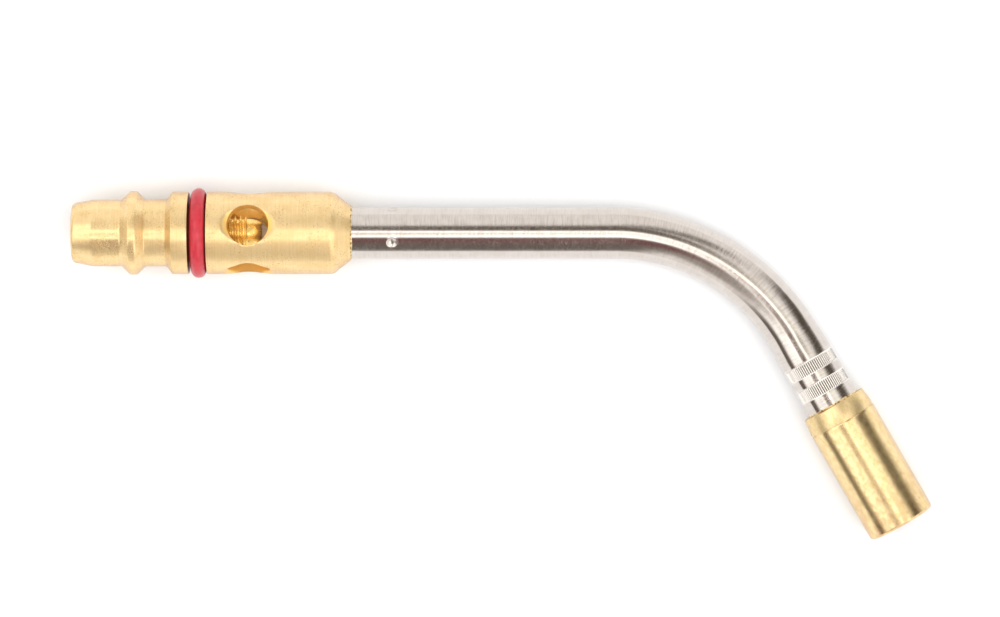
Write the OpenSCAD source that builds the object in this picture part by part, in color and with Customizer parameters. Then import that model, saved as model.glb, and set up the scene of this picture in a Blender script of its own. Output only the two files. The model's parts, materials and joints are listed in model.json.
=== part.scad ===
// Air-acetylene swirl torch tip with a quick-connect end.
// The connector lies along +X with its axis on y = z = 0 and its nose face at x = 0.
// The tube bends towards -Y in the plane z = 0. All sizes are in millimetres.

/* [Connector body] */
// Diameter of the nose and of the neck behind the lock rib
nose_d = 15.5; // [15:0.1:16]
// Diameter of the lock rib's crest
rib_d = 19.4; // [18.4:0.1:20]
// Diameter of the barrel
barrel_d = 19.05; // [18.9:0.05:19.5]
// Length from the nose face to the end of the tube socket
body_len = 64.7; // [64:0.1:68]
// Diameter of the gas inlet in the nose
inlet_d = 9.8; // [9.8:0.1:10]

/* [O-ring] */
// Section diameter of the O-ring
ring_section = 3.53; // [3.4:0.01:3.6]
// Outside diameter of the O-ring in its groove
ring_od = 20.93; // [20.6:0.01:21.2]
// Distance of the O-ring's middle from the nose face
ring_x = 29.4; // [28.9:0.1:29.6]

/* [Air ports] */
// Number of air ports round the barrel
port_count = 4; // [2:1:4]
// Diameter of each air port
port_d = 9.53; // [7:0.01:9.6]
// Diameter of the countersink where it meets the top of the barrel
countersink_d = 12.7; // [11:0.1:13]
// Included angle of the countersink
countersink_angle = 120; // [90:1:130]
// Distance of the ports from the nose face
port_x = 41.1; // [40.9:0.1:41.5]
// Turn of the first port from +Z towards +Y
port_turn = 11.7; // [0:0.1:45]

/* [Gas jet] */
// Outside diameter of the jet's thread (M8 x 1.25)
thread_d = 8; // [7.6:0.05:8]
// Radial clearance of the thread in the body
thread_clearance = 0.06; // [0.03:0.01:0.1]
// Diameter of the slotted head
jet_head_d = 8.8; // [8.6:0.1:8.9]
// Diameter of the gas orifice
orifice_d = 0.6; // [0.3:0.05:1]

/* [Mixing tube] */
// Outside diameter of the tube
tube_d = 12.1; // [12:0.05:12.1]
// Wall thickness of the tube
tube_wall = 0.8; // [0.6:0.05:0.9]
// Distance from the nose face to the start of the bend
bend_start = 125.7; // [110:0.1:150]
// Radius of the bend at the middle of the tube
bend_r = 48.8; // [40:0.1:60]
// Angle of the bend
bend_angle = 60; // [20:1:90]
// Straight length from the end of the bend to the burner mouth
leg_len = 49.7; // [49:0.1:60]
// Diameter of the expanded end of the tube
end_d = 12.6; // [12.3:0.05:12.6]
// Width of each rolled band
band_w = 3; // [2.4:0.1:3]
// Gap between the two rolled bands
band_gap = 2.4; // [2:0.1:3]
// Gap between the second band and the burner cap
cap_gap = 3.5; // [3:0.1:4]
// Distance of the stake dimples from the nose face
dimple_x = 74.4; // [72:0.1:78]

/* [Burner cap] */
// Outside diameter of the burner cap
cap_d = 16.2; // [16:0.1:18]
// Length of the burner cap
cap_len = 31.9; // [28:0.1:33]
// Bore of the burner mouth
mouth_d = 14.2; // [13.6:0.1:14.4]
// Length of the collar at the rear of the cap
collar_len = 4.43; // [4.2:0.01:5]

/* [Swirl rotor] */
// Number of helical vanes
vane_count = 6; // [3:1:8]
// Twist of each vane from end to end
vane_twist = 55; // [20:1:80]

/* [Hidden] */
$fn = 96;
through = 1;          // how far a cutter runs past the face it opens

nose_r = nose_d / 2;
rib_r = rib_d / 2;
barrel_r = barrel_d / 2;
nose_tip_r = 5.8;     // flat of the nose face
nose_round = 1.2;     // rounding of the nose edge
nose_taper_x = 4.8;   // where the nose reaches its full diameter

rib_start = 11.5;     // foot of the rib's front slope
rib_crest_x = 13.5;   // start of the rib's crest
rib_crest_end = 15.15;
rib_end = 17.05;      // foot of the rib's rear slope
neck_end = 21.95;
shoulder_x = 23.35;   // where the shoulder's chamfer meets the barrel

groove_start = 27.1;
groove_end = 31.4;
ring_mid_r = (ring_od - ring_section) / 2;
ring_stretch = 0.05;  // how much the groove stretches the ring, on the radius
groove_r = ring_mid_r - ring_section / 2 + ring_stretch;

front_round = 2.4;    // rounding where the barrel turns into the front cone
front_start = 59.9;
front_r = 6.4;        // rim of the tube socket

inlet_end = 12;       // end of the gas inlet's own stretch of bore
head_bore_r = 4.6;    // pocket for the jet's head
seat_x = 26.4;        // shoulder that the jet's head closes on
chamber_x = 35.9;     // rear wall of the air chamber
socket_clearance = 0.05;
chamber_r = tube_d / 2 + socket_clearance;

jet_head_x = 21.9;
jet_seat_gap = 0.05;
thread_end = 40.6;
jet_nose_r = 3.35;    // plain nose ahead of the thread
jet_tip_r = 2.5;
jet_end = 44;
jet_bore_r = 1.2;
orifice_len = 2;
cup_r = 3.1;          // cup in the jet's head that holds the filter
cup_end = 25.4;
slot_w = 1.2;
slot_depth = 0.8;
snap_ring_r = 0.3;    // section radius of the filter's snap ring
snap_ring_x = 23.15;
snap_groove_r = cup_r + snap_ring_r;
filter_clearance = 0.1;
filter_start = snap_ring_x + snap_ring_r + filter_clearance;
filter_end = cup_end - filter_clearance;

tube_r = tube_d / 2;
tube_bore_r = tube_r - tube_wall;
tube_start = 46.4;    // the tube's rear end, just past the air ports' edge
bend_draw = 0.05;     // how much the bend draws the tube in, on the radius
end_r = end_d / 2;
end_bore_r = end_r - tube_wall;
cap_start = leg_len - cap_len;             // measured along the burner leg
tube_in_cap = 5;
tube_end = cap_start + tube_in_cap;
band_2_x = cap_start - cap_gap - band_w;
band_1_x = band_2_x - band_gap - band_w;
band_depth = 0.2;
swell_len = 1.4;                           // taper up to the expanded end
swell_end = band_1_x - 1.2;
dimple_count = 4;
dimple_turn = -23;    // turn of the first dimple from +Z towards +Y
dimple_ball_r = 1.8;
dimple_depth = 0.45;

venturi_start = 47.9;
throat_start = 55.4;
throat_end = 59.4;
venturi_end = 83.4;
venturi_r = tube_bore_r - 0.03;
venturi_mouth_r = 4.7;
throat_r = 2.7;
stake_groove_depth = 0.5;
stake_groove_w = 3.2;

rotor_len = band_2_x + band_w - band_1_x;
rotor_hub_r = 1.5;
rotor_r = end_bore_r - 0.02;
vane_w = 0.9;

cap_r = cap_d / 2;
mouth_r = mouth_d / 2;
collar_rear_r = 7.6;
collar_r = cap_r - 0.1;
collar_taper_len = 3;
ring_line_w = 0.3;
ring_line_depth = 0.12;
mouth_chamfer = 0.45;
cap_socket_len = 5.5;
cap_socket_r = end_r + socket_clearance;

braze_len = 0.6;      // how far each fillet runs along the tube
rear_braze_r = front_r - 0.08;
front_braze_r = end_r + 0.5;

brass = "#d9b65a";
dull_brass = "#c9a13f";
steel = "#c3bcb6";
silicone = "#b3202c";
bronze = "#a87a44";
silver = "#cfc8b4";

// Points along an arc about centre c, from angle a0 to a1
function arc(c, r, a0, a1, steps = 8) =
    [for (i = [0 : steps]) let (a = a0 + (a1 - a0) * i / steps) c + r * [cos(a), sin(a)]];

// A solid of revolution about the X axis, from an outline of [radius, x] points
module turned(outline) {
    rotate([0, 90, 0]) rotate_extrude() polygon(outline);
}

// A cylinder on the X axis from x0 to x1
module rod(r, x0, x1) {
    translate([x0, 0, 0]) rotate([0, 90, 0]) cylinder(r = r, h = x1 - x0);
}

// A cone on the X axis from radius r0 at x0 to radius r1 at x1
module taper(r0, r1, x0, x1) {
    translate([x0, 0, 0]) rotate([0, 90, 0]) cylinder(r1 = r0, r2 = r1, h = x1 - x0);
}

// Moves children from the X axis to the straight leg after the bend
module on_burner_leg() {
    translate([bend_start, -bend_r, 0]) rotate([0, 0, -bend_angle]) translate([0, bend_r, 0]) children();
}

// Copies of a child round the X axis, the first turned from +Z towards +Y
module around_axis(count, first) {
    for (i = [0 : count - 1]) rotate([-first - i * 360 / count, 0, 0]) children();
}

// Solid bar of radius r round the bend
module bend_bar(r) {
    translate([bend_start, -bend_r, 0]) rotate([0, 0, 90 - bend_angle])
        rotate_extrude(angle = bend_angle) translate([bend_r, 0]) circle(r = r);
}

module connector_outline() {
    turned(concat(
        [[0, 0]],
        arc([nose_tip_r, nose_round], nose_round, -90, -10),
        [[nose_r, nose_taper_x], [nose_r, rib_start], [rib_r, rib_crest_x]],
        [[rib_r, rib_crest_end], [nose_r, rib_end], [nose_r, neck_end], [barrel_r, shoulder_x]],
        [[barrel_r, groove_start], [groove_r, groove_start], [groove_r, groove_end], [barrel_r, groove_end]],
        arc([barrel_r - front_round, front_start], front_round, 0, 50),
        [[front_r, body_len], [0, body_len]]
    ));
}

module air_port() {
    cylinder(d = port_d, h = barrel_r + through);
    countersink_r = countersink_d / 2;
    port_r = port_d / 2;
    flare = tan(countersink_angle / 2);
    depth = (countersink_r - port_r) / flare;
    translate([0, 0, barrel_r - depth])
        cylinder(r1 = port_r, r2 = countersink_r + through * flare, h = depth + through);
}

module connector_body() {
    color(brass) difference() {
        connector_outline();
        rod(inlet_d / 2, -through, inlet_end);
        rod(head_bore_r, inlet_end - through, seat_x);
        rod(thread_d / 2 + thread_clearance, seat_x - through, chamber_x + through);
        rod(chamber_r, chamber_x, body_len + through);
        translate([port_x, 0, 0]) around_axis(port_count, port_turn) air_port();
    }
}

module o_ring() {
    color(silicone) translate([ring_x, 0, 0]) rotate([0, 90, 0])
        rotate_extrude() translate([ring_mid_r, 0]) circle(d = ring_section);
}

module gas_jet() {
    color(brass) difference() {
        union() {
            rod(jet_head_d / 2, jet_head_x, seat_x - jet_seat_gap);
            rod(thread_d / 2, seat_x - through, thread_end);
            taper(jet_nose_r, jet_tip_r, thread_end, jet_end);
        }
        rod(cup_r, jet_head_x - through, cup_end);
        rod(jet_bore_r, cup_end - through, jet_end - orifice_len);
        rod(orifice_d / 2, jet_end - orifice_len - through, jet_end + through);
        rod(snap_groove_r, snap_ring_x - snap_ring_r, snap_ring_x + snap_ring_r);
        translate([jet_head_x - through, -jet_head_d, -slot_w / 2])
            cube([slot_depth + through, 2 * jet_head_d, slot_w]);
    }
}

module inlet_filter() {
    color(bronze) rod(cup_r - filter_clearance, filter_start, filter_end);
}

module filter_retaining_ring() {
    ring_gap = 30;
    color(steel) translate([snap_ring_x, 0, 0]) rotate([0, 90, 0]) rotate([0, 0, ring_gap / 2])
        rotate_extrude(angle = 360 - ring_gap) translate([cup_r, 0]) circle(r = snap_ring_r);
}

// Straight stretch from the connector to the bend, with the stake dimples
module tube_rear() {
    difference() {
        rod(tube_r, tube_start, bend_start);
        rod(tube_bore_r, tube_start - through, bend_start + through);
        translate([dimple_x, 0, 0]) around_axis(dimple_count, dimple_turn)
            translate([0, 0, tube_r + dimple_ball_r - dimple_depth]) sphere(r = dimple_ball_r);
    }
}

// Outline points of one rolled groove that starts at x
function rolled_groove(x) = [
    [end_r, x], [end_r - band_depth, x], [end_r - band_depth, x + band_w], [end_r, x + band_w]
];

// Straight stretch from the bend into the burner cap, expanded and rolled
module tube_leg() {
    turned(concat(
        [[tube_bore_r, 0], [tube_r, 0], [tube_r, swell_end - swell_len], [end_r, swell_end]],
        rolled_groove(band_1_x), rolled_groove(band_2_x),
        [[end_r, tube_end], [end_bore_r, tube_end], [end_bore_r, swell_end]],
        [[tube_bore_r, swell_end - swell_len]]
    ));
}

module mixing_tube() {
    color(steel) {
        tube_rear();
        difference() {
            bend_bar(tube_r - bend_draw);
            bend_bar(tube_bore_r - bend_draw);
        }
        on_burner_leg() tube_leg();
    }
}

module venturi() {
    groove_r = venturi_r - stake_groove_depth;
    color(dull_brass) turned([
        [venturi_mouth_r, venturi_start], [venturi_r, venturi_start],
        [venturi_r, dimple_x - stake_groove_w / 2], [groove_r, dimple_x - stake_groove_w / 2],
        [groove_r, dimple_x + stake_groove_w / 2], [venturi_r, dimple_x + stake_groove_w / 2],
        [venturi_r, venturi_end], [venturi_mouth_r, venturi_end],
        [throat_r, throat_end], [throat_r, throat_start]
    ]);
}

module swirl_rotor() {
    color(dull_brass) on_burner_leg() translate([band_1_x, 0, 0]) rotate([0, 90, 0]) {
        cylinder(r = rotor_hub_r, h = rotor_len);
        linear_extrude(height = rotor_len, twist = vane_twist, slices = 10)
            for (i = [0 : vane_count - 1]) rotate(i * 360 / vane_count)
                translate([0, -vane_w / 2]) square([rotor_r, vane_w]);
    }
}

module burner_cap() {
    collar_end = cap_start + collar_len;
    color(dull_brass) on_burner_leg() difference() {
        turned([
            [0, cap_start], [collar_rear_r, cap_start], [collar_r, cap_start + collar_taper_len],
            [collar_r, collar_end - ring_line_w], [collar_r - ring_line_depth, collar_end - ring_line_w],
            [collar_r - ring_line_depth, collar_end], [cap_r, collar_end],
            [cap_r, leg_len - mouth_chamfer], [cap_r - mouth_chamfer, leg_len], [0, leg_len]
        ]);
        rod(cap_socket_r, cap_start - through, cap_start + cap_socket_len + through);
        rod(mouth_r, cap_start + cap_socket_len, leg_len + through);
    }
}

module rear_braze_ring() {
    color(silver) turned([[tube_r, body_len], [rear_braze_r, body_len], [tube_r, body_len + braze_len]]);
}

module front_braze_ring() {
    color(silver) on_burner_leg()
        turned([[end_r, cap_start], [front_braze_r, cap_start], [end_r, cap_start - braze_len]]);
}

connector_body();
o_ring();
gas_jet();
inlet_filter();
filter_retaining_ring();
mixing_tube();
venturi();
swirl_rotor();
burner_cap();
rear_braze_ring();
front_braze_ring();
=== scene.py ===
"""Looks of an air-acetylene swirl torch tip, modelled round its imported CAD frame.

Every piece is drawn straight, in millimetres, along the tip's centreline, and then carried round the
tube's bend. A point there is (s, y, z): s runs along the centreline from the nose face, y points to the
outside of the bend and z points up. An angle round the centreline runs from +z towards +y.
"""
import json
import math

import bmesh
import bpy
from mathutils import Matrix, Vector, noise


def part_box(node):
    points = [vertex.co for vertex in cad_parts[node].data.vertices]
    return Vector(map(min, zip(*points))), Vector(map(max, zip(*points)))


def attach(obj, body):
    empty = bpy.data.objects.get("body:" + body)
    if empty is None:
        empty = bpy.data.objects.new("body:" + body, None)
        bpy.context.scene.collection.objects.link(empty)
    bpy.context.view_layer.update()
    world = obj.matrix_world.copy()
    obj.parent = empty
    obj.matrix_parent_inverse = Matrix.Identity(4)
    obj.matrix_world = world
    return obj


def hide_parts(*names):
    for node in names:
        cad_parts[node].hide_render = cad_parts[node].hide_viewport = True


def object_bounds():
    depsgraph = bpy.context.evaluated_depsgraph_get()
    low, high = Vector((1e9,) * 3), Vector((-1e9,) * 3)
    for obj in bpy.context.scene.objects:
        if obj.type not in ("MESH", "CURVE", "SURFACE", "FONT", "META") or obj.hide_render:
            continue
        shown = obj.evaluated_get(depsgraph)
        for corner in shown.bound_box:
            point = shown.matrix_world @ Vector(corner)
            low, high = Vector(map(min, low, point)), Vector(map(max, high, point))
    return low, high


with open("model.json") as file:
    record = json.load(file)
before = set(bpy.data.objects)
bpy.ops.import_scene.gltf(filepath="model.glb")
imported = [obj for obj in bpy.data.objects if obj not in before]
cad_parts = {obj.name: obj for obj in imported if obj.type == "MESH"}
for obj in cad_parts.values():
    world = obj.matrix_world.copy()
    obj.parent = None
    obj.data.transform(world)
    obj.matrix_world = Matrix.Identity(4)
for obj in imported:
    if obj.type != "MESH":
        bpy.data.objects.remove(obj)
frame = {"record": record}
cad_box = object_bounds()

MM = 0.001
QUARTER = math.pi / 2


# ---------------------------------------------------------------- sizes, in millimetres

def extent(node):
    """Lowest and highest corner of a CAD node, in millimetres."""
    low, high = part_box(node)
    return low / MM, high / MM


def mount(name):
    """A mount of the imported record."""
    return next(m for m in frame["record"]["mounts"] if m["name"] == name)


RING_LOW, RING_HIGH = extent("o_ring")
JET_LOW, JET_HIGH = extent("gas_jet")
FILTER_LOW, FILTER_HIGH = extent("inlet_filter")
SNAP_LOW, SNAP_HIGH = extent("filter_retaining_ring")
TUBE_LOW, TUBE_HIGH = extent("mixing_tube")
VENTURI_LOW, VENTURI_HIGH = extent("venturi")

# centreline: straight along +X, round the bend, and out along the burner leg
leg_direction = Vector(mount("burner_mouth")["axis"])
bend_angle = math.acos(leg_direction.x)
bend_start = 125.7
bend_r = 48.8
bend_len = bend_r * bend_angle
leg_start = bend_start + bend_len
leg_len = 49.7

# connector body
inlet_r = mount("gas_inlet")["dims"]["r_mm"]
inlet_len = mount("gas_inlet")["dims"]["length_mm"]
nose_r = mount("quick_connect_nose")["dims"]["r_mm"]
rib_r = mount("lock_rib")["dims"]["r_mm"]
body_len = extent("connector_body")[1].x
barrel_r = 9.525
nose_taper_end = 4.8
rib_start, rib_crest, rib_crest_end, rib_end = 11.5, 13.5, 15.15, 17.05
neck_end, shoulder_end = 21.95, 23.35
groove_start, groove_end, groove_r = 27.1, 31.4, 6.985
front_start, front_round, front_rim_r = 59.9, 2.4, 6.4
head_pocket_r, seat_s, tapped_r = 4.6, 26.4, 4.06
chamber_start, chamber_r = 35.9, 6.1

# air ports, countersunk into the barrel
port_s, port_r, port_turn, port_count = 41.1, 4.765, math.radians(11.7), 4
countersink_r = 6.35
countersink_flare = math.tan(math.radians(60))
countersink_foot = barrel_r - (countersink_r - port_r) / countersink_flare

# gas jet
thread_crest_r, thread_pitch, thread_end = 4.0, 1.25, 40.6
jet_nose_r, jet_tip_r = 3.35, 2.5
jet_bore_r, orifice_r, orifice_len = 1.2, 0.3, 2.0
cup_r, cup_end = 3.1, 25.4
slot_w, slot_depth = 1.2, 0.8

# mixing tube
tube_r, tube_wall = 6.05, 0.8
leg_r = TUBE_HIGH.z
swell = (-2.0, 5.6)
bands = ((5.9, 8.9), (11.3, 14.3))
knurl_depth = 0.27
knurl_teeth = 72
tube_in_cap = 22.8
dimple_s, dimple_turn, dimple_ball_r, dimple_depth = 74.4, math.radians(-23), 1.8, 0.45

# burner cap, measured along the burner leg
cap_start, cap_r, mouth_r = 17.8, 8.1, mount("burner_mouth")["dims"]["r_mm"]
mouth_depth = mount("burner_mouth")["dims"]["length_mm"]
collar_rear_r, collar_r, collar_taper, collar_end = 7.6, 8.0, 20.8, 22.23
lip_chamfer = 0.45


# ---------------------------------------------------------------- mesh tools

def bent(point):
    """Carries a point of the straight drawing onto the bent centreline."""
    s, y, z = point
    past = s - bend_start
    if past <= 0:
        return Vector((s, y, z))
    turn = min(past, bend_len) / bend_r
    leg = max(past - bend_len, 0)
    out = bend_r + y
    x = bend_start + out * math.sin(turn) + leg * math.cos(turn)
    return Vector((x, out * math.cos(turn) - bend_r - leg * math.sin(turn), z))


def polar(s, r, angle):
    """A point at radius r and at an angle round the centreline."""
    return (s, r * math.sin(angle), r * math.cos(angle))


def smooth(x):
    """Rises smoothly from 0 to 1 as x goes from 0 to 1."""
    x = min(max(x, 0.0), 1.0)
    return x * x * (3 - 2 * x)


def steps(start, end, count):
    """count + 1 evenly spaced values from start to end."""
    return [start + (end - start) * i / count for i in range(count + 1)]


def rounded(corners, pieces=5):
    """An outline through (s, r) corners, where a third number rounds a corner by that radius."""
    points = [Vector(c[:2]) for c in corners]
    outline = []
    for i, corner in enumerate(corners):
        if len(corner) < 3 or i in (0, len(corners) - 1):
            outline.append(tuple(points[i]))
            continue
        back = (points[i - 1] - points[i]).normalized()
        ahead = (points[i + 1] - points[i]).normalized()
        half = back.angle(ahead) / 2
        reach = corner[2] / math.tan(half)
        centre = points[i] + (back + ahead).normalized() * corner[2] / math.sin(half)
        start = points[i] + back * reach - centre
        end = points[i] + ahead * reach - centre
        sweep = start.angle_signed(end)
        for j in range(pieces + 1):
            turn = -sweep * j / pieces
            c, d = math.cos(turn), math.sin(turn)
            outline.append((centre.x + start.x * c - start.y * d, centre.y + start.x * d + start.y * c))
    return outline


def full_turn(count):
    """Evenly spaced angles round the centreline."""
    return [2 * math.pi * i / count for i in range(count)]


class Solid:
    """A mesh being drawn on the straight centreline."""

    def __init__(self):
        self.points = []
        self.faces = []

    def ring(self, points):
        first = len(self.points)
        self.points.extend(points)
        return list(range(first, len(self.points)))

    def skin(self, a, b, closed=True):
        """Quads between two rings of the same length."""
        for i in range(len(a) if closed else len(a) - 1):
            j = (i + 1) % len(a)
            self.faces.append((a[i], a[j], b[j], b[i]))

    def finer(self, a, b, ratio, flip=False):
        """Joins ring a to ring b, which has ratio times as many points."""
        for i in range(len(a)):
            j = (i + 1) % len(a)
            fine = [b[(i * ratio + k) % len(b)] for k in range(ratio, -1, -1)]
            face = [a[i], a[j]] + fine
            self.faces.append(tuple(reversed(face)) if flip else tuple(face))

    def sweep(self, rings, closed=False):
        """Skins a list of rings one to the next."""
        for a, b in zip(rings, rings[1:]):
            self.skin(a, b)
        if closed:
            self.skin(rings[-1], rings[0])
        return rings

    def revolve(self, outline, angles, closed=False, wobble=None):
        """Turns an outline of (s, r) points; wobble(s, r, angle) may shift the radius."""
        rings = []
        for s, r in outline:
            radii = [r + (wobble(s, r, a) if wobble else 0) for a in angles]
            rings.append(self.ring([polar(s, q, a) for q, a in zip(radii, angles)]))
        return self.sweep(rings, closed)

    def close_ends(self, rings):
        """Closes both ends of a sweep with one flat face each."""
        self.faces.append(tuple(reversed(rings[0])))
        self.faces.append(tuple(rings[-1]))

    def disc(self, ring, s, flip=False):
        """Closes a ring with a fan of triangles to a point on the centreline."""
        centre = self.ring([(s, 0, 0)])[0]
        for i in range(len(ring)):
            face = (ring[i], ring[(i + 1) % len(ring)], centre)
            self.faces.append(tuple(reversed(face)) if flip else face)

    def make(self, name, material, body, node, sharp=35):
        """The finished piece, bent into place, riding on a body and standing for a CAD node."""
        mesh = bpy.data.meshes.new(name)
        mesh.from_pydata([bent(p) * MM for p in self.points], [], self.faces)
        straight = mesh.attributes.new("straight", "FLOAT_VECTOR", "POINT")
        straight.data.foreach_set("vector", [value for point in self.points for value in point])
        bm = bmesh.new()
        bm.from_mesh(mesh)
        bmesh.ops.remove_doubles(bm, verts=bm.verts, dist=1e-7)
        loose = [v for v in bm.verts if not v.link_faces]
        bmesh.ops.delete(bm, geom=loose, context="VERTS")
        bmesh.ops.recalc_face_normals(bm, faces=bm.faces)
        for edge in bm.edges:
            edge.smooth = edge.is_manifold and edge.calc_face_angle(0) < math.radians(sharp)
        for face in bm.faces:
            face.smooth = True
        bm.to_mesh(mesh)
        bm.free()
        piece = bpy.data.objects.new(name, mesh)
        bpy.context.scene.collection.objects.link(piece)
        mesh.materials.append(material)
        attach(piece, body)
        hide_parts(node)
        return piece


# ---------------------------------------------------------------- node tools

class Graph:
    """A node tree with short calls for what the materials and the studio repeat."""

    def __init__(self, tree):
        self.tree = tree
        tree.nodes.clear()

    def node(self, kind, inputs=None, **settings):
        made = self.tree.nodes.new(kind)
        for key, value in settings.items():
            setattr(made, key, value)
        for key, value in (inputs or {}).items():
            self.feed(made.inputs[key], value)
        return made

    def feed(self, socket, value):
        if isinstance(value, bpy.types.NodeSocket):
            self.tree.links.new(value, socket)
        elif socket.type == "RGBA" and len(value) == 3:
            socket.default_value = (*value, 1)
        else:
            socket.default_value = value

    def math(self, operation, a, b=0.0):
        return self.node("ShaderNodeMath", {0: a, 1: b}, operation=operation).outputs[0]

    def vector(self, operation, a, b=(0, 0, 0)):
        made = self.node("ShaderNodeVectorMath", {0: a, 1: b}, operation=operation)
        return made.outputs["Value" if operation in ("LENGTH", "DOT_PRODUCT") else "Vector"]

    def ramp(self, value, low, high, to_low=0.0, to_high=1.0):
        """Maps low..high smoothly to to_low..to_high, held at the ends."""
        sockets = {"Value": value, "From Min": low, "From Max": high,
                   "To Min": to_low, "To Max": to_high}
        made = self.node("ShaderNodeMapRange", sockets, interpolation_type="SMOOTHSTEP")
        return made.outputs["Result"]

    def blend(self, factor, a, b):
        """Mixes colours a and b."""
        made = self.node("ShaderNodeMix", data_type="RGBA")
        for socket, value in ((made.inputs[0], factor), (made.inputs[6], a), (made.inputs[7], b)):
            self.feed(socket, value)
        return made.outputs[2]

    def noise(self, where, scale=1.0, detail=2.0, rough=0.5):
        sockets = {"Vector": where, "Scale": scale, "Detail": detail, "Roughness": rough}
        return self.node("ShaderNodeTexNoise", sockets).outputs["Fac"]

    def bump(self, height, depth_mm, strength=1.0, under=None):
        """A bump whose height of 1 stands depth_mm proud."""
        sockets = {"Height": height, "Distance": depth_mm * MM, "Strength": strength}
        if under is not None:
            sockets["Normal"] = under
        return self.node("ShaderNodeBump", sockets).outputs["Normal"]


def new_material(name):
    """A material, its graph and the straight coordinates of the surface, in millimetres."""
    material = bpy.data.materials.new(name)
    material.use_nodes = True
    g = Graph(material.node_tree)
    place = g.node("ShaderNodeAttribute", attribute_name="straight", attribute_type="GEOMETRY")
    return material, g, place.outputs["Vector"]


def surface(g, **sockets):
    """Ends a graph in one Principled shader."""
    names = {"color": "Base Color", "rough": "Roughness", "metal": "Metallic", "normal": "Normal",
             "specular": "Specular IOR Level", "rim": "Specular Tint",
             "subsurface": "Subsurface Weight", "scatter": "Subsurface Scale",
             "stretch": "Anisotropic", "turn": "Anisotropic Rotation", "tangent": "Tangent"}
    shader = g.node("ShaderNodeBsdfPrincipled", {names[k]: v for k, v in sockets.items()})
    output = g.node("ShaderNodeOutputMaterial")
    g.tree.links.new(shader.outputs["BSDF"], output.inputs["Surface"])


def stretched(g, place, along, around):
    """Coordinates scaled along the centreline and around it."""
    return g.vector("MULTIPLY", place, (along, around, around))


# ---------------------------------------------------------------- materials

def turned_brass():
    """Satin turned brass: lathe marks round the axis, faint mottling and dark pits, with painted shade
    in the O-ring groove and painted orange bounce light inside the air ports.
    """
    material, g, place = new_material("turned_brass")
    lathe = g.noise(stretched(g, place, 3.2, 0.1), detail=4, rough=0.78)
    fine = g.noise(stretched(g, place, 30, 0.5), detail=1)
    cloud = g.noise(place, 0.28, detail=4, rough=0.6)
    speck = g.ramp(g.noise(stretched(g, place, 3.0, 2.0), detail=3, rough=0.75), 0.57, 0.64)
    speck = g.math("MULTIPLY", speck, g.ramp(g.noise(place, 0.22, detail=2), 0.42, 0.58, 0.25, 1.0))
    split = g.node("ShaderNodeSeparateXYZ", {0: place})
    from_axis = g.vector("LENGTH", g.vector("MULTIPLY", place, (0, 1, 1)))
    # painted shade: the O-ring groove is coloured a near-black maroon, with little metal and specular
    groove_painted_shade = g.math("MULTIPLY", g.ramp(split.outputs[0], groove_start - 0.05, groove_start),
                       g.ramp(split.outputs[0], groove_end + 0.05, groove_end))
    groove_painted_shade = g.math("MULTIPLY", groove_painted_shade, g.ramp(from_axis, barrel_r - 0.1, barrel_r - 0.5))
    # painted bounce light: the countersinks, port walls and chamber are coloured a saturated orange,
    # with less metal
    port_painted_bounce = g.math("MULTIPLY", g.ramp(from_axis, barrel_r - 0.15, barrel_r - 0.5),
                      g.ramp(split.outputs[0], groove_end + 1, groove_end + 1.5))
    port_painted_bounce = g.math("MULTIPLY", port_painted_bounce, g.ramp(split.outputs[0], front_start, front_start - 0.5))
    color = g.blend(g.ramp(cloud, 0.35, 0.7), (0.86, 0.655, 0.35), (0.80, 0.585, 0.29))
    color = g.blend(g.ramp(lathe, 0.35, 0.75, 0, 0.45), color, (0.68, 0.47, 0.20))
    color = g.blend(g.math("MULTIPLY", speck, 0.55), color, (0.40, 0.25, 0.10))
    # painted orange bounce light inside the ports
    color = g.blend(g.math("MULTIPLY", port_painted_bounce, 0.85), color, (0.98, 0.62, 0.17))
    # painted shade in the O-ring groove
    color = g.blend(g.math("MULTIPLY", groove_painted_shade, 0.95), color, (0.15, 0.015, 0.008))
    polished = g.ramp(split.outputs[0], neck_end, rib_start, 0, 0.1)
    rough = g.math("SUBTRACT", g.ramp(cloud, 0.3, 0.7, 0.32, 0.40), polished)
    rough = g.math("ADD", rough, g.ramp(speck, 0, 1, 0, 0.15))
    metal = g.math("MULTIPLY", g.ramp(port_painted_bounce, 0, 1, 0.9, 0.7), g.ramp(groove_painted_shade, 0, 1, 1.0, 0.2))
    specular = g.ramp(groove_painted_shade, 0, 1, 0.5, 0.05)
    normal = g.bump(lathe, 0.02)
    normal = g.bump(fine, 0.005, under=normal)
    normal = g.bump(g.math("SUBTRACT", 1.0, speck), 0.02, 0.8, under=normal)
    around = g.node("ShaderNodeTangent", direction_type="RADIAL", axis="X").outputs[0]
    surface(g, color=color, rough=rough, metal=metal, specular=specular, rim=(0.74, 0.70, 0.78),
            normal=normal, stretch=0.78, turn=0.25, tangent=around)
    return material


def machined_brass():
    """Deeper, less polished brass of the inner pieces."""
    material, g, place = new_material("machined_brass")
    lathe = g.noise(stretched(g, place, 12, 0.2), detail=2)
    cloud = g.noise(place, 0.9, detail=3)
    color = g.blend(g.ramp(cloud, 0.35, 0.7), (0.96, 0.72, 0.27), (0.86, 0.58, 0.17))
    rough = g.ramp(cloud, 0.3, 0.7, 0.24, 0.34)
    surface(g, color=color, rough=rough, metal=0.82, normal=g.bump(lathe, 0.006))
    return material


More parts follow.
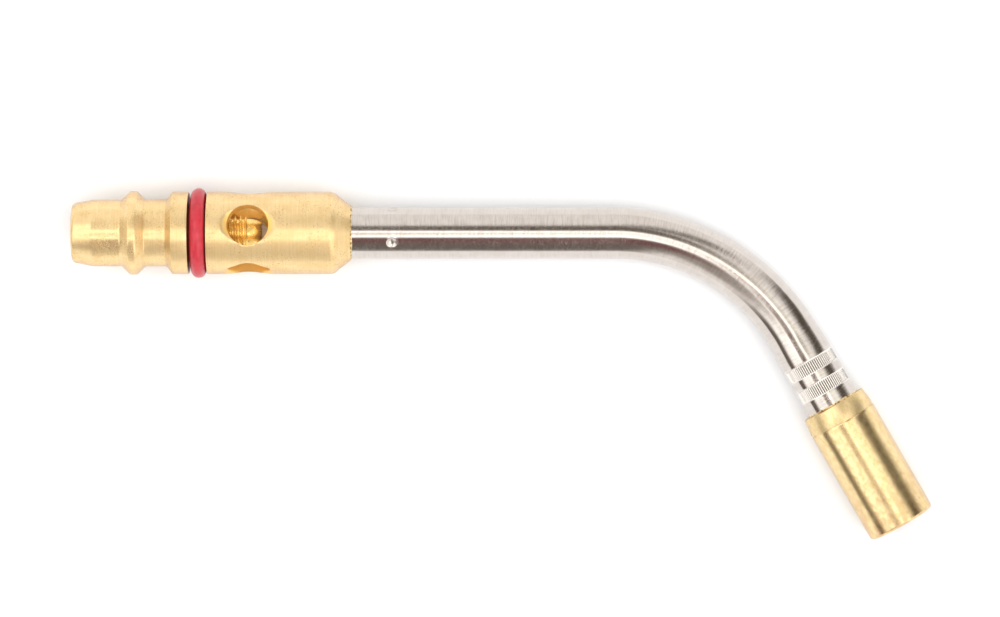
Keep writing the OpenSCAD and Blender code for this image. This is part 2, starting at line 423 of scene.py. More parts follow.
def drawn_brass():
    """Drawn brass of the burner cap: mottled, with streaks along it and fine wear."""
    material, g, place = new_material("drawn_brass")
    mottle = g.noise(stretched(g, place, 0.7, 1.0), detail=4, rough=0.7)
    grain = g.noise(stretched(g, place, 5, 9), detail=2, rough=0.6)
    speck = g.ramp(g.noise(place, 2.2, detail=3, rough=0.75), 0.66, 0.78)
    s = g.node("ShaderNodeSeparateXYZ", {0: place}).outputs[0]
    collar = g.ramp(s, leg_start + collar_end, leg_start + collar_end - 0.3)
    color = g.blend(g.ramp(mottle, 0.35, 0.68), (0.84, 0.665, 0.375), (0.73, 0.555, 0.27))
    color = g.blend(g.math("MULTIPLY", speck, 0.5), color, (0.34, 0.24, 0.11))
    heated = g.math("MULTIPLY", g.ramp(s, leg_start + leg_len - 16, leg_start + leg_len - 2),
                    g.ramp(g.noise(stretched(g, place, 0.25, 0.5), detail=4, rough=0.65), 0.40, 0.62))
    color = g.blend(g.math("MULTIPLY", heated, 0.6), color, (0.60, 0.38, 0.20))
    rough = g.math("ADD", g.ramp(mottle, 0.3, 0.7, 0.17, 0.27), g.math("MULTIPLY", collar, 0.13))
    normal = g.bump(mottle, 0.012)
    normal = g.bump(grain, 0.006, under=normal)
    surface(g, color=color, rough=rough, metal=1.0, normal=normal, rim=(0.78, 0.74, 0.80))
    return material


def polished_tube():
    """Stainless tube polished round its circumference, pale where knurled with painted shade in the
    knurl's roots, stained where brazed in.
    """
    material, g, place = new_material("polished_tube")
    scratch = g.noise(stretched(g, place, 3.4, 0.22), detail=5, rough=0.78)
    fine = g.noise(stretched(g, place, 22, 0.8), detail=2, rough=0.7)
    cloud = g.noise(place, 0.35, detail=3)
    speck = g.ramp(g.noise(place, 1.7, detail=2, rough=0.8), 0.73, 0.80)
    split = g.node("ShaderNodeSeparateXYZ", {0: place})
    s, outside = split.outputs[0], split.outputs[1]
    knurled = g.math("MULTIPLY",
                     g.ramp(s, leg_start + bands[0][0] - 0.2, leg_start + bands[0][0]),
                     g.ramp(s, leg_start + bands[1][1] + 0.2, leg_start + bands[1][1]))
    between = g.math("MULTIPLY",
                     g.ramp(s, leg_start + bands[0][1], leg_start + bands[0][1] + 0.2),
                     g.ramp(s, leg_start + bands[1][0], leg_start + bands[1][0] - 0.2))
    knurled = g.math("MULTIPLY", knurled, g.math("SUBTRACT", 1.0, between))
    chatter = g.noise(stretched(g, place, 1.7, 0.15), detail=2, rough=0.6)
    stretched_side = g.math("MULTIPLY", g.ramp(outside, 0.5, 3.0),
                            g.ramp(s, bend_start + 6, bend_start + 26))
    color = g.blend(g.ramp(cloud, 0.35, 0.7), (0.62, 0.58, 0.54), (0.58, 0.535, 0.495))
    color = g.blend(g.ramp(scratch, 0.42, 0.68, 0, 0.55), color, (0.47, 0.41, 0.37))
    from_axis = g.vector("LENGTH", g.vector("MULTIPLY", place, (0, 1, 1)))
    # painted shade: the knurl's deepest roots are coloured nearly black
    root = g.math("MULTIPLY", knurled, g.ramp(from_axis, leg_r - 0.12, leg_r - 0.24))
    color = g.blend(g.math("MULTIPLY", knurled, 0.8), color, (0.86, 0.83, 0.80))
    color = g.blend(g.math("MULTIPLY", root, 0.9), color, (0.09, 0.07, 0.06))
    color = g.blend(g.math("MULTIPLY", speck, 0.5), color, (0.30, 0.26, 0.23))
    brazed = g.ramp(s, body_len - 1.0, body_len - 3.0)
    color = g.blend(g.math("MULTIPLY", brazed, 0.85), color, (0.42, 0.24, 0.09))
    rough = g.ramp(scratch, 0.35, 0.7, 0.07, 0.15)
    rough = g.math("ADD", rough, g.math("MULTIPLY", knurled, 0.06))
    normal = g.bump(scratch, 0.014)
    normal = g.bump(fine, 0.006, under=normal)
    normal = g.bump(g.math("MULTIPLY", chatter, stretched_side), 0.02, under=normal)
    surface(g, color=color, rough=rough, metal=1.0, normal=normal)
    return material


def silicone():
    """Red silicone rubber with a satin skin and a little dust."""
    material, g, place = new_material("silicone")
    cloud = g.noise(place, 0.8, detail=3)
    grain = g.noise(place, 9, detail=3, rough=0.7)
    dust = g.ramp(g.noise(place, 3.0, detail=2, rough=0.8), 0.74, 0.80)
    color = g.blend(g.ramp(cloud, 0.3, 0.7), (0.49, 0.022, 0.038), (0.40, 0.014, 0.027))
    color = g.blend(g.math("MULTIPLY", dust, 0.35), color, (0.75, 0.45, 0.45))
    surface(g, color=color, rough=g.ramp(grain, 0.3, 0.7, 0.28, 0.40), normal=g.bump(grain, 0.008),
            subsurface=0.08, scatter=0.0008)
    return material


def sintered_bronze():
    """Bronze grains sintered into a porous disc."""
    material, g, place = new_material("sintered_bronze")
    cells = g.node("ShaderNodeTexVoronoi", {"Vector": place, "Scale": 5.0})
    grain = g.ramp(cells.outputs["Distance"], 0.0, 0.7, 1.0, 0.0)
    color = g.blend(grain, (0.16, 0.09, 0.04), (0.66, 0.42, 0.22))
    surface(g, color=color, rough=g.ramp(grain, 0, 1, 0.7, 0.35), metal=1.0, normal=g.bump(grain, 0.08))
    return material


def spring_wire():
    """Bright drawn spring wire."""
    material, g, place = new_material("spring_wire")
    draw = g.noise(place, 7, detail=3)
    color = g.blend(g.ramp(draw, 0.3, 0.7), (0.58, 0.57, 0.57), (0.42, 0.41, 0.41))
    rough = g.ramp(draw, 0.3, 0.7, 0.18, 0.34)
    surface(g, color=color, rough=rough, metal=1.0, normal=g.bump(draw, 0.006))
    return material


def braze():
    """Silver braze that wetted the joint unevenly, stained by its flux."""
    material, g, place = new_material("braze")
    flow = g.noise(place, 1.4, detail=4, rough=0.65)
    color = g.blend(g.ramp(flow, 0.46, 0.62), (0.80, 0.60, 0.30), (0.25, 0.14, 0.05))
    rough = g.ramp(flow, 0.3, 0.7, 0.25, 0.6)
    surface(g, color=color, rough=rough, metal=1.0, normal=g.bump(flow, 0.08))
    return material


# ---------------------------------------------------------------- connector body

def port_rays():
    """Directions round an air port, with those where two ports meet inside the wall."""
    corner = math.asin(chamber_r * math.sin(QUARTER / 2) / port_r)
    rays = [2 * math.pi * i / 192 for i in range(192)]
    return sorted(rays + [corner, math.pi - corner, math.pi + corner, 2 * math.pi - corner]), corner


def port_point(port_angle, along, across, height):
    """A point given beside an air port: along the tip, across it, and out from the centreline."""
    c, d = math.cos(port_angle), math.sin(port_angle)
    return (port_s + along, height * d + across * c, height * c - across * d)


def square_edge(ray, half):
    """Where a ray from the middle of a square of that half size meets its edge."""
    reach = half / max(abs(math.cos(ray)), abs(math.sin(ray)))
    return reach * math.cos(ray), reach * math.sin(ray)


def barrel_height(r, ray):
    """Height of the barrel's surface at radius r from a port's axis."""
    return math.sqrt(barrel_r ** 2 - (r * math.sin(ray)) ** 2)


def countersink_height(r):
    """Height of the countersink's cone at radius r from the port's axis."""
    return countersink_foot + (r - port_r) / countersink_flare


def countersink_edge(ray):
    """Radius at which the countersink meets the barrel, or the port's own radius where it does not."""
    low, high = port_r, countersink_r
    for _ in range(30):
        middle = (low + high) / 2
        if barrel_height(middle, ray) > countersink_height(middle):
            low = middle
        else:
            high = middle
    return low


def port_wall(solid, port_angle, rays):
    """One sector of the barrel, its countersunk port and the port's wall down to the chamber."""
    half = barrel_r * QUARTER / 2
    edge_break = 0.14
    columns = []
    for ray in rays:
        c, d = math.cos(ray), math.sin(ray)
        rim = countersink_edge(ray)
        outer = rim + edge_break
        near = (outer * c, barrel_r * math.asin(outer * d / barrel_r))
        far = square_edge(ray, half)
        column = []
        for t in (1.0, 0.8, 0.6, 0.42, 0.26, 0.12, 0.0):
            along = near[0] + (far[0] - near[0]) * t
            arc = (near[1] + (far[1] - near[1]) * t) / barrel_r
            side, out = barrel_r * math.sin(arc), barrel_r * math.cos(arc)
            column.append(port_point(port_angle, along, side, out))

        def cone(r, sink):
            height = min(countersink_height(r), barrel_height(r, ray)) - sink
            return port_point(port_angle, r * c, r * d, height)

        def bore(height):
            return port_point(port_angle, port_r * c, port_r * d, height)

        on_cone = min(edge_break, (rim - port_r) / 2)
        bare = edge_break - on_cone
        column.append(cone(rim - 0.5 * on_cone + 0.35 * bare, 0.3 * bare))
        column.append(cone(port_r + 0.6 * on_cone + 0.3 * bare, 0.33 * bare))
        foot = min(countersink_foot, barrel_height(port_r, ray)) - edge_break
        across = abs(port_r * d)
        end = max(math.sqrt(max(chamber_r ** 2 - across ** 2, 0)), across)
        column += [bore(h) for h in steps(foot, end, 7)]
        columns.append(column)
    rows = [solid.ring([column[i] for column in columns]) for i in range(len(columns[0]))]
    solid.sweep(rows)


def connector(material):
    """The turned body: nose, lock rib, neck, O-ring groove, ported barrel and tube socket."""
    solid = Solid()
    rays, corner = port_rays()
    half = barrel_r * QUARTER / 2
    side = [r for r in rays if r <= QUARTER / 2 + 1e-9]
    across = sorted({round(sign * half * math.tan(r), 9) for r in side for sign in (-1, 1)})
    outer = [port_turn + i * QUARTER + a / barrel_r for i in range(port_count) for a in across[:-1]]
    inside_rays = [r for r in rays if r <= corner + 1e-9]
    inward = sorted({sign * math.asin(port_r * math.sin(r) / chamber_r)
                     for r in inside_rays for sign in (-1, 1)})
    inner = [port_turn + i * QUARTER + a for i in range(port_count) for a in inward[:-1]]

    front_angle = math.radians(50)
    front_arc = [(front_start + front_round * math.sin(a), barrel_r - front_round * (1 - math.cos(a)))
                 for a in steps(0, front_angle, 10)]
    rear = rounded([
        (0.0, inlet_r + 0.3), (0.0, 6.85, 1.1), (nose_taper_end, nose_r, 4.0), (rib_start, nose_r, 0.8),
        (rib_crest, rib_r, 0.7), (rib_crest_end, rib_r, 0.7), (rib_end, nose_r, 0.4),
        (neck_end, nose_r, 0.3), (shoulder_end, barrel_r, 0.25),
        (groove_start, barrel_r, 0.1), (groove_start, groove_r, 0.2), (groove_end, groove_r, 0.2),
        (groove_end, barrel_r, 0.1), (port_s - half, barrel_r)])
    front = [(port_s + half, barrel_r)] + front_arc + [(body_len - 0.12, front_rim_r + 0.08),
                                                       (body_len, front_rim_r - 0.02)]
    solid.revolve(rear, outer)
    solid.revolve(front, outer)
    for i in range(port_count):
        port_wall(solid, port_turn + i * QUARTER, rays)

    # the bores: gas inlet, pocket for the jet's head, tapped hole and air chamber
    bores = rounded([
        (0.0, inlet_r + 0.3), (0.3, inlet_r), (inlet_len, inlet_r, 0.1), (inlet_len, head_pocket_r),
        (seat_s, head_pocket_r, 0.1), (seat_s, tapped_r + 0.15), (seat_s + 0.15, tapped_r),
        (chamber_start - 0.15, tapped_r), (chamber_start, tapped_r + 0.15), (chamber_start, chamber_r)])
    rings = solid.revolve(bores, inner)
    hole = [math.sqrt(max(port_r ** 2 - (chamber_r * math.sin(a)) ** 2, 0)) for a in inward[:-1]]
    hole *= port_count
    behind = solid.ring([polar(port_s - h, chamber_r, a) for h, a in zip(hole, inner)])
    ahead = solid.ring([polar(port_s + h, chamber_r, a) for h, a in zip(hole, inner)])
    mouth = solid.revolve([(body_len - 0.1, chamber_r), (body_len, chamber_r + 0.1)], inner)
    solid.skin(rings[-1], behind)
    solid.skin(ahead, mouth[0])
    return solid.make("connector_shell", material, "tip", "connector_body", sharp=25)


# ---------------------------------------------------------------- O-ring

def o_ring(material):
    """Moulded O-ring with a faint parting line on its outside."""
    solid = Solid()
    inset, flash, flash_width, lumps = 0.01, 0.03, 0.07, 0.03
    section_r = (RING_HIGH.x - RING_LOW.x) / 2 - inset
    middle_s = (RING_HIGH.x + RING_LOW.x) / 2
    middle_r = RING_HIGH.z - section_r - inset
    outline = []
    for turn in full_turn(72):
        from_top = math.remainder(turn, 2 * math.pi)
        r = section_r - flash + flash * math.exp(-(from_top / flash_width) ** 2)
        outline.append((middle_s + r * math.sin(turn), middle_r + r * math.cos(turn)))

    def unevenness(s, r, angle):
        where = Vector((3 * math.sin(angle), 3 * math.cos(angle), 0.3 * s))
        return -lumps * abs(noise.noise(where))

    solid.revolve(outline, full_turn(192), closed=True, wobble=unevenness)
    return solid.make("o_ring_seal", material, "tip", "o_ring")


# ---------------------------------------------------------------- gas jet, filter and snap ring

def thread_r(s, angle):
    """Radius of the right-hand M8 x 1.25 thread."""
    turn = (s / thread_pitch + angle / (2 * math.pi)) % 1
    from_crest = abs(turn - 0.5) * thread_pitch
    crest_flat, root_flat = thread_pitch / 16, thread_pitch / 8
    depth = 0.613 * thread_pitch
    flank = thread_pitch / 2 - root_flat - crest_flat
    return thread_crest_r - depth * min(max((from_crest - crest_flat) / flank, 0), 1)


def slotted(r, s_face, s_floor):
    """A ring of the jet's rear face, stepped down where the screwdriver slot crosses it."""
    edge = math.asin(slot_w / 2 / r)
    points = []
    for middle in (QUARTER, 3 * QUARTER):
        points += [polar(s_face, r, middle - edge)]
        points += [polar(s_floor, r, a) for a in steps(middle - edge, middle + edge, 6)]
        beyond = steps(middle + edge, middle + 2 * QUARTER - edge, 40)[:-1]
        points += [polar(s_face, r, a) for a in beyond]
    return points


def gas_jet(material):
    """Threaded jet with a slotted head, a filter cup and a small orifice."""
    solid = Solid()
    head_s, tip_s, head_r = JET_LOW.x, JET_HIGH.x, JET_HIGH.z
    head_end = seat_s - 0.05
    core_r, rows_per_pitch = thread_crest_r - 0.75, 14
    thread_start, nose_s = head_end + 0.6, thread_end + 0.5
    slot_floor = head_s + slot_depth
    inner_face = solid.ring(slotted(cup_r + 0.1, head_s, slot_floor))
    outer_face = solid.ring(slotted(head_r - 0.12, head_s, slot_floor))
    outer_edge = solid.ring(slotted(head_r, head_s + 0.12, slot_floor + 0.02))
    inner_edge = solid.ring(slotted(cup_r, head_s + 0.1, slot_floor + 0.02))
    angles = [math.atan2(solid.points[i][1], solid.points[i][2]) for i in outer_face]
    solid.sweep([inner_edge, inner_face, outer_face, outer_edge])

    head = solid.revolve([(slot_floor + 0.1, head_r), (head_end - 0.1, head_r), (head_end, head_r - 0.1),
                          (head_end, core_r), (thread_start, core_r)], angles)
    solid.skin(outer_edge, head[0])
    rows = [head[-1]]
    count = int((nose_s - thread_start) / (thread_pitch / rows_per_pitch))
    for s in steps(thread_start, nose_s, count)[1:]:
        lead = smooth(s - thread_start)
        fade = smooth((thread_end + 0.4 - s) / 1.1)
        radii = [core_r + (thread_r(s, a) - core_r) * lead for a in angles]
        radii = [jet_nose_r + (r - jet_nose_r) * fade for r in radii]
        rows.append(solid.ring([polar(s, r, a) for r, a in zip(radii, angles)]))
    solid.sweep(rows)
    bulge = 0.16
    nose = [(s, jet_nose_r + (jet_tip_r - jet_nose_r) * t + bulge * math.sin(math.pi * t))
            for t, s in zip(steps(0, 1, 10), steps(nose_s, tip_s, 10))][1:-1]
    throat_s = tip_s - orifice_len
    tip = rounded([nose[-1], (tip_s, jet_tip_r, 0.12), (tip_s, orifice_r + 0.25),
                   (tip_s - 0.2, orifice_r), (throat_s, orifice_r), (throat_s - 0.5, jet_bore_r),
                   (cup_end, jet_bore_r), (cup_end, cup_r, 0.15)], pieces=4)
    snap_s = (SNAP_LOW.x + SNAP_HIGH.x) / 2
    snap_r = (SNAP_HIGH.x - SNAP_LOW.x) / 2
    groove = [(snap_s + snap_r * math.cos(t), cup_r + snap_r * math.sin(t))
              for t in steps(0, math.pi, 8)]
    inside = solid.revolve(nose + tip[1:] + groove + [(slot_floor + 0.1, cup_r)], angles)
    solid.skin(rows[-1], inside[0])
    solid.skin(inside[-1], inner_edge)
    return solid.make("threaded_jet", material, "jet", "gas_jet", sharp=40)


def inlet_filter(material):
    """Sintered disc with an uneven grain."""
    solid = Solid()
    start, end, r = FILTER_LOW.x, FILTER_HIGH.x, FILTER_HIGH.z
    grain = 0.05
    angles = full_turn(96)
    inset = grain / 2
    radii = steps(0.12, r - inset, 24)
    outline = [(start + inset, q) for q in radii]
    outline += [(s, r - inset) for s in steps(start, end, 12)[1:-1]]
    outline += [(end - inset, q) for q in reversed(radii)]
    rings = []
    for s, q in outline:
        ring = []
        for a in angles:
            lump = grain * noise.noise(Vector(polar(s, q, a)) * 4)
            ring.append(polar(s + lump, q + lump / 2, a))
        rings.append(solid.ring(ring))
    solid.sweep(rings)
    solid.disc(rings[0], start + inset, flip=True)
    solid.disc(rings[-1], end - inset)
    return solid.make("sintered_filter", material, "filter", "inlet_filter", sharp=70)


def snap_ring(material):
    """Wire snap ring that keeps the filter in the jet's cup, open over a twelfth of a turn."""
    solid = Solid()
    wire_r = (SNAP_HIGH.x - SNAP_LOW.x) / 2
    middle_s = (SNAP_HIGH.x + SNAP_LOW.x) / 2
    gap = math.radians(30)
    rings = []
    for t in steps(0, 1, 72):
        angle = gap / 2 + (2 * math.pi - gap) * t
        end = min(t, 1 - t) * (2 * math.pi - gap) * cup_r
        r = wire_r * math.sqrt(max(1 - max(1 - end / wire_r, 0) ** 2, 0.02))
        rings.append(solid.ring([polar(middle_s + r * math.cos(q), cup_r + r * math.sin(q), angle)
                                 for q in full_turn(16)]))
    solid.sweep(rings)
    solid.close_ends(rings)
    return solid.make("snap_ring", material, "jet", "filter_retaining_ring")


# ---------------------------------------------------------------- mixing tube

def dimple(s, angle):
    """How far the four stake dimples press the tube in at this point."""
    reach = 2.2
    rim_height, rim_away, rim_width = 0.015, 1.3, 0.2
    press = 0.0
    for i in range(4):
        off = math.remainder(angle - dimple_turn - i * QUARTER, 2 * math.pi)
        away = math.hypot(s - dimple_s, off * tube_r)
        if away < reach:
            ball = math.sqrt(max(dimple_ball_r ** 2 - away ** 2, 0)) - (dimple_ball_r - dimple_depth)
            rim = rim_height * math.exp(-((away - rim_away) / rim_width) ** 2)
            press += max(ball, 0) - rim
    return press


def knurl(leg, angle):
    """How far the rolled bands press the tube in, with teeth that run out at both edges."""
    runout, raggedness, crest_share, crest_press = 0.35, 0.12, 0.3, 0.08
    press = 0.0
    for start, end in bands:
        inside = min(leg - start, end - leg)
        if inside > -runout:
            tooth = abs(2 * ((angle * knurl_teeth / (2 * math.pi)) % 1) - 1)
            ragged = raggedness * noise.noise(Vector((angle * 11, start, 0)))
            roll = smooth((inside + 0.1 + ragged) / runout)
            press += knurl_depth * roll * max(crest_press, (tooth - crest_share) / (1 - crest_share))
    return press


def swelling(leg):
    """How much wider the tube is on the burner leg, where it is swaged."""
    return (leg_r - tube_r) * smooth((leg - swell[0]) / (swell[1] - swell[0]))


def tube_radius(s, angle):
    """Outside radius of the tube: swaged, drawn slightly oval in the bend, rolled and staked."""
    drawn_thin, ovality, waviness = 0.05, 0.07, 0.004
    leg = s - leg_start
    r = tube_r + swelling(leg)
    in_bend = smooth((s - bend_start) / 14) * smooth((leg_start + 2 - s) / 12)
    r -= in_bend * (drawn_thin + ovality * (1 - math.cos(2 * angle)) / 2)
    r += waviness * noise.noise(Vector((s / 9, math.sin(angle), math.cos(angle))))
    return r - dimple(s, angle) - knurl(leg, angle)


def mixing_tube(material):
    """The bent tube, with finer rings where it is staked and rolled."""
    solid = Solid()
    start, end = TUBE_LOW.x, leg_start + tube_in_cap
    finer, around_stakes, around_bands = 4, 2.4, 0.7
    coarse, fine = full_turn(144), full_turn(144 * finer)
    staked = (dimple_s - around_stakes, dimple_s + around_stakes)
    rolled = (leg_start + bands[0][0] - around_bands, leg_start + bands[1][1] + around_bands)

    def ring(s, angles):
        return solid.ring([polar(s, tube_radius(s, a), a) for a in angles])

    plain = [ring(s, coarse) for s in steps(start + 0.1, staked[0], 26)]
    dimpled = [ring(s, fine) for s in steps(*staked, 40)[1:-1]]
    middle = [ring(s, coarse) for s in steps(staked[1], bend_start, 50)]
    middle += [ring(s, coarse) for s in steps(bend_start, rolled[0], 130)[1:]]
    knurled = [ring(s, fine) for s in steps(*rolled, 110)[1:-1]]
    last = [ring(s, coarse) for s in steps(rolled[1], end - 0.1, 16)]
    solid.sweep(plain)
    solid.finer(plain[-1], dimpled[0], finer)
    solid.sweep(dimpled)
    solid.finer(middle[0], dimpled[-1], finer, flip=True)
    solid.sweep(middle)
    solid.finer(middle[-1], knurled[0], finer)
    solid.sweep(knurled)
    solid.finer(last[0], knurled[-1], finer, flip=True)
    solid.sweep(last)

    bore_stations = [end] + steps(end - 0.1, leg_start, 24) + steps(leg_start, bend_start, 60)[1:]
    bore_stations += steps(bend_start, start, 10)[1:]
    bore = [(s, tube_r - tube_wall + swelling(s - leg_start)) for s in bore_stations]
    outline = [(end, leg_r - 0.1)] + bore + [(start, tube_r - 0.1)]
    inside = solid.revolve(outline, coarse)
    solid.skin(last[-1], inside[0])
    solid.skin(inside[-1], plain[0])
    return solid.make("bent_tube", material, "tip", "mixing_tube", sharp=50)


# ---------------------------------------------------------------- venturi and swirl rotor

def venturi(material):
    """Throat insert with a rounded entry, gripped by the stake dimples in its groove."""
    solid = Solid()
    start, end, r = VENTURI_LOW.x, VENTURI_HIGH.x, VENTURI_HIGH.z
    groove_half, stake_depth = 1.6, 0.5
    mouth, throat, throat_start, throat_end = 4.7, 2.7, 55.4, 59.4
    entry = [(s, throat + (mouth - throat) * (1 - smooth(t)))
             for t, s in zip(steps(0, 1, 14), steps(start, throat_start, 14))]
    outside = rounded([
        (start, mouth), (start, r, 0.2), (dimple_s - groove_half, r, 0.1),
        (dimple_s - groove_half, r - stake_depth, 0.1), (dimple_s + groove_half, r - stake_depth, 0.1),
        (dimple_s + groove_half, r, 0.1), (end, r, 0.2), (end, mouth)])
    outline = outside + [(throat_end, throat)] + list(reversed(entry))[:-1]
    solid.revolve(outline, full_turn(96), closed=True)
    return solid.make("venturi_insert", material, "tip", "venturi")


def swirl_rotor(material):
    """Hub and six helical vanes, gripped between the rolled bands."""
    solid = Solid()
    hub_r, tip_r, vane_w, vanes, twist = 1.5, leg_r - tube_wall - 0.02, 0.9, 6, math.radians(55)
    start, end = leg_start + bands[0][0], leg_start + bands[1][1]

    def section(s, turn, inset):
        points = []
        half = vane_w / 2 - inset
        root = math.asin(half / hub_r)
        tip, shoulder = tip_r - inset, tip_r - inset - 0.15
        for i in range(vanes):
            middle = turn + 2 * math.pi * i / vanes
            for radius, side in ((hub_r, -half), (shoulder, -half), (tip, -half * 0.6),
                                 (tip, half * 0.6), (shoulder, half), (hub_r, half)):
                points.append(polar(s, radius, middle + math.asin(side / radius)))
            gap = 2 * math.pi / vanes - 2 * root
            points += [polar(s, hub_r, middle + root + gap * k / 4) for k in (1, 2, 3)]
        return solid.ring(points)

    rings = [section(start, 0, 0.1)]
    for s in steps(start + 0.1, end - 0.1, 28):
        rings.append(section(s, -twist * (s - start) / (end - start), 0))
    rings += [section(end, -twist, 0.1)]
    solid.sweep(rings)
    solid.close_ends(rings)
    return solid.make("swirl_vanes", material, "tip", "swirl_rotor")


# ---------------------------------------------------------------- burner cap and brazed joints

def burner_cap(material):
    """Burner cup with a tapered collar, a turned line, small dents and a nick."""
    solid = Solid()
    s0, s1 = leg_start + cap_start, leg_start + leg_len
    line_s, floor_s = leg_start + collar_end, leg_start + leg_len - mouth_depth
    socket_r, line_r = leg_r + 0.05, collar_r - 0.12
    outside = rounded([
        (s0, socket_r + 0.1), (s0, collar_rear_r, 0.15), (leg_start + collar_taper, collar_r),
        (line_s - 0.3, collar_r), (line_s - 0.25, line_r), (line_s - 0.05, line_r),
        (line_s, cap_r - 0.03), (line_s + 0.2, cap_r)])
    outside += [(s, cap_r) for s in steps(line_s + 0.5, s1 - 1, 70)]
    lip = rounded([(s1 - 0.8, cap_r), (s1 - lip_chamfer, cap_r, 0.2), (s1, cap_r - lip_chamfer, 0.15),
                   (s1, mouth_r, 0.15), (s1 - 0.8, mouth_r)])
    inside = rounded([(s1 - 1, mouth_r), (floor_s, mouth_r, 0.3), (floor_s, socket_r),
                      (s0 + 0.1, socket_r)])
    nick_s, nick_angle = leg_start + cap_start + 3.6, math.radians(2)
    nick_depth, nick_length, nick_width, dent_depth = 0.10, 0.25, 0.3, 0.02

    def dents(s, r, angle):
        if r < cap_r - 0.6:
            return 0
        around = math.remainder(angle - nick_angle, 2 * math.pi) * cap_r
        nick = nick_depth * math.exp(-(((s - nick_s) / nick_length) ** 2 + (around / nick_width) ** 2))
        where = Vector((s / 7, 2.2 * math.sin(angle), 2.2 * math.cos(angle)))
        return -nick - dent_depth * abs(noise.noise(where))

    solid.revolve(outside + lip + inside, full_turn(192), closed=True, wobble=dents)
    return solid.make("burner_cup", material, "tip", "burner_cap")


def fillet(name, node, material, joint_s, face_r, pipe_r, reach):
    """An uneven braze fillet between a face at joint_s and the tube, running reach along it."""
    solid = Solid()
    tall = face_r - pipe_r
    overlap = 0.05
    angles = full_turn(192)
    profile = [(reach * (1 - math.cos(t)), tall * (1 - math.sin(t)) + 0.02)
               for t in steps(0, QUARTER, 6)]
    rings = []
    for along, up in profile + [(reach, -overlap), (0, -overlap)]:
        ring = []
        for a in angles:
            where = Vector((joint_s, 4 * math.sin(a), 4 * math.cos(a)))
            size = 0.62 + 0.38 * noise.noise(where) + 0.15 * noise.noise(where * 4)
            grown = size if up > 0 else 1
            ring.append(polar(joint_s + along * size, pipe_r + up * grown, a))
        rings.append(solid.ring(ring))
    solid.sweep(rings, closed=True)
    return solid.make(name, material, "tip", node, sharp=60)


# ---------------------------------------------------------------- studio

# Soft lights and dark flags round the object. Each has its place in degrees away from straight up
# (towards +X and +Y), its half sizes and turn, how soft its edge is, and its light. A later one
# covers those before it.
STUDIO = (
    ("window_left", (-30, 19), (19, 12), 0, 0.4, (2.0, 1.95, 1.85)),
    ("window_right", (30, -38), (20, 23), 0, 0.4, (2.2, 2.13, 2.0)),
    ("white_wall_left", (-33, -20), (34, 13), 32, 0.5, (1.85, 1.83, 1.78)),
    ("gap_left", (-22, -42), (24, 15), 62, 0.5, (0.50, 0.45, 0.41)),
    ("side_left", (-76, 12), (15, 38), 0, 0.5, (0.62, 0.56, 0.47)),
    ("floor_edge_left", (-74, -43), (26, 19), -48, 0.4, (0.20, 0.16, 0.14)),
    ("dark_room", (0, -62), (12, 27), 0, 0.23, (0.20, 0.17, 0.155)),
    ("red_shirt", (-2, -34), (12, 16), 0, 0.4, (0.24, 0.12, 0.12)),
    ("overhead_strip", (0, -5), (50, 14), 0, 0.4, (2.6, 2.5, 2.4)),
    ("white_wall_right", (17, 6), (14, 10), 30, 0.5, (1.5, 1.48, 1.36)),
    ("camera", (9, 15), (10, 4), 68, 0.5, (0.36, 0.28, 0.24)),
    ("photographer", (-13, -7), (12, 8), 27, 0.3, (0.24, 0.17, 0.145)),
    ("light_stand", (1, 20), (9, 11.5), 0, 0.3, (0.15, 0.125, 0.11)),
    ("boom", (17, 40), (22, 6), 42, 0.5, (0.2, 0.17, 0.14)),
    ("doorway", (56, 33), (32, 13), 58, 0.35, (0.13, 0.11, 0.085)),
)
ROOM_LIGHT = (1.20, 1.16, 1.13)


def studio_world():
    """The room that the metal reflects, drawn by direction only."""
    world = bpy.data.worlds.new("studio")
    bpy.context.scene.world = world
    world.use_nodes = True
    g = Graph(world.node_tree)
    direction = g.node("ShaderNodeTexCoord").outputs["Generated"]
    split = g.node("ShaderNodeSeparateXYZ", {0: direction})
    away = g.math("MULTIPLY", g.math("ARCCOSINE", split.outputs[2]), 180 / math.pi)
    flat = g.vector("MULTIPLY", direction, (1, 1, 0))
    level = g.node("ShaderNodeVectorMath", {0: flat}, operation="NORMALIZE").outputs["Vector"]
    scaled = g.node("ShaderNodeVectorMath", {0: level, "Scale": away}, operation="SCALE")
    chart = scaled.outputs["Vector"]
    light = ROOM_LIGHT
    for _, centre, half, turn, soft, shade in STUDIO:
        sockets = {"Vector": chart, "Location": (*centre, 0), "Rotation": (0, 0, math.radians(turn)),
                   "Scale": (*half, 1)}
        local = g.node("ShaderNodeMapping", sockets, vector_type="TEXTURE").outputs["Vector"]
        inside = g.ramp(g.vector("LENGTH", local), 1 + soft, 1 - soft)
        light = g.blend(inside, light, shade)
    background = g.node("ShaderNodeBackground", {"Color": light, "Strength": 1.0})
    output = g.node("ShaderNodeOutputWorld")
    g.tree.links.new(background.outputs[0], output.inputs["Surface"])


def lowest(normal, centre, axis, ring_r, round_r=0.0):
    """The point of a ring about an axis that lies furthest against the normal."""
    sideways = -(normal - axis * normal.dot(axis)).normalized()
    return centre + sideways * ring_r - normal * round_r


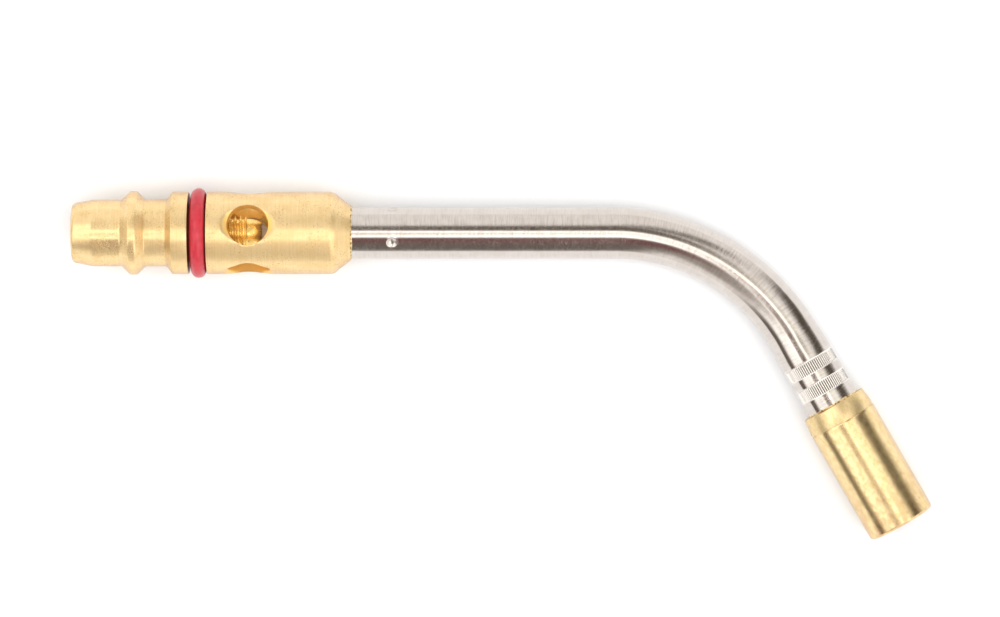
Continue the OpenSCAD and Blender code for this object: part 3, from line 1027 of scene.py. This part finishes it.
def resting_plane():
    """The plane that the tip lies on: it touches the O-ring, the tube's bend and the burner cap."""
    section_r = (RING_HIGH.x - RING_LOW.x) / 2
    ring = Vector(((RING_HIGH.x + RING_LOW.x) / 2, 0, 0))
    mouth = bent((leg_start + leg_len - 0.5, 0, 0))
    normal = Vector((0, 0, 1))
    for _ in range(20):
        a = lowest(normal, ring, Vector((1, 0, 0)), RING_HIGH.z - section_r, section_r)
        c = lowest(normal, mouth, leg_direction, cap_r)
        bend = [bent((bend_start + bend_len * t, 0, 0)) - normal * tube_r for t in steps(-0.3, 1, 26)]
        b = min(bend, key=lambda p: p.dot(normal))
        normal = (b - a).cross(c - a).normalized()
        normal = -normal if normal.z < 0 else normal
    return a, normal


def floor():
    """A plain pale floor: the resting plane under the tip, and a level skirt round it."""
    point, normal = resting_plane()
    clearance, margin, reach, skirt_drop = 0.02, 8.0, 8000.0, 16.0
    low, high = cad_box[0] / MM, cad_box[1] / MM

    def on_plane(x, y):
        drop = (normal.x * (x - point.x) + normal.y * (y - point.y)) / normal.z
        return (x, y, point.z - clearance - drop)

    near_x, near_y = (low.x - margin, high.x + margin), (low.y - margin, high.y + margin)
    near = [on_plane(near_x[i], near_y[j]) for i, j in ((0, 0), (1, 0), (1, 1), (0, 1))]
    corners = ((-1, -1), (1, -1), (1, 1), (-1, 1))
    far = [(reach * x, reach * y, -skirt_drop) for x, y in corners]
    skirt = [(4 + i, 4 + (i + 1) % 4, (i + 1) % 4, i) for i in range(4)]
    mesh = bpy.data.meshes.new("floor")
    mesh.from_pydata([Vector(p) * MM for p in near + far], [], [(0, 1, 2, 3)] + skirt)
    sheet = bpy.data.objects.new("floor", mesh)
    bpy.context.scene.collection.objects.link(sheet)
    material = bpy.data.materials.new("paper")
    material.use_nodes = True
    g = Graph(material.node_tree)
    place = g.node("ShaderNodeTexCoord").outputs["Object"]
    grain = g.noise(place, 900, detail=2)
    color = g.blend(grain, (0.78, 0.795, 0.815), (0.80, 0.815, 0.835))
    surface(g, color=color, rough=0.9, specular=0.1)
    mesh.materials.append(material)


def fill_light():
    """A broad soft lamp that whitens the floor and stays out of the metal's reflections."""
    lamp = bpy.data.lights.new("fill", "SUN")
    lamp.energy = 1.5
    lamp.angle = math.radians(70)
    lamp.color = (0.97, 0.98, 1.0)
    holder = bpy.data.objects.new("fill", lamp)
    bpy.context.scene.collection.objects.link(holder)
    tilt = math.radians(8)
    holder.rotation_euler = (tilt, tilt, 0)
    holder.visible_glossy = False


def camera():
    """A long lens straight above the tip, where the photographer stood."""
    data = bpy.data.cameras.new("camera")
    data.sensor_width = 36.0
    data.lens = 168.8
    data.clip_start, data.clip_end = 0.05, 50.0
    holder = bpy.data.objects.new("camera", data)
    holder.location = (0.0994, -0.01755, 1.090)
    bpy.context.scene.collection.objects.link(holder)
    bpy.context.scene.camera = holder


# ---------------------------------------------------------------- the tip

camera()
studio_world()
floor()
fill_light()
bpy.context.scene.view_settings.view_transform = "Standard"

brass = turned_brass()
inner_brass = machined_brass()
cap_brass = drawn_brass()
steel = polished_tube()
joint_braze = braze()

connector(brass)
o_ring(silicone())
gas_jet(inner_brass)
inlet_filter(sintered_bronze())
snap_ring(spring_wire())
mixing_tube(steel)
venturi(inner_brass)
swirl_rotor(inner_brass)
burner_cap(cap_brass)
fillet("rear_fillet", "rear_braze_ring", joint_braze, body_len, front_rim_r - 0.08, tube_r, 0.6)
fillet("front_fillet", "front_braze_ring", joint_braze, leg_start + cap_start, leg_r + 0.5, leg_r, -0.6)
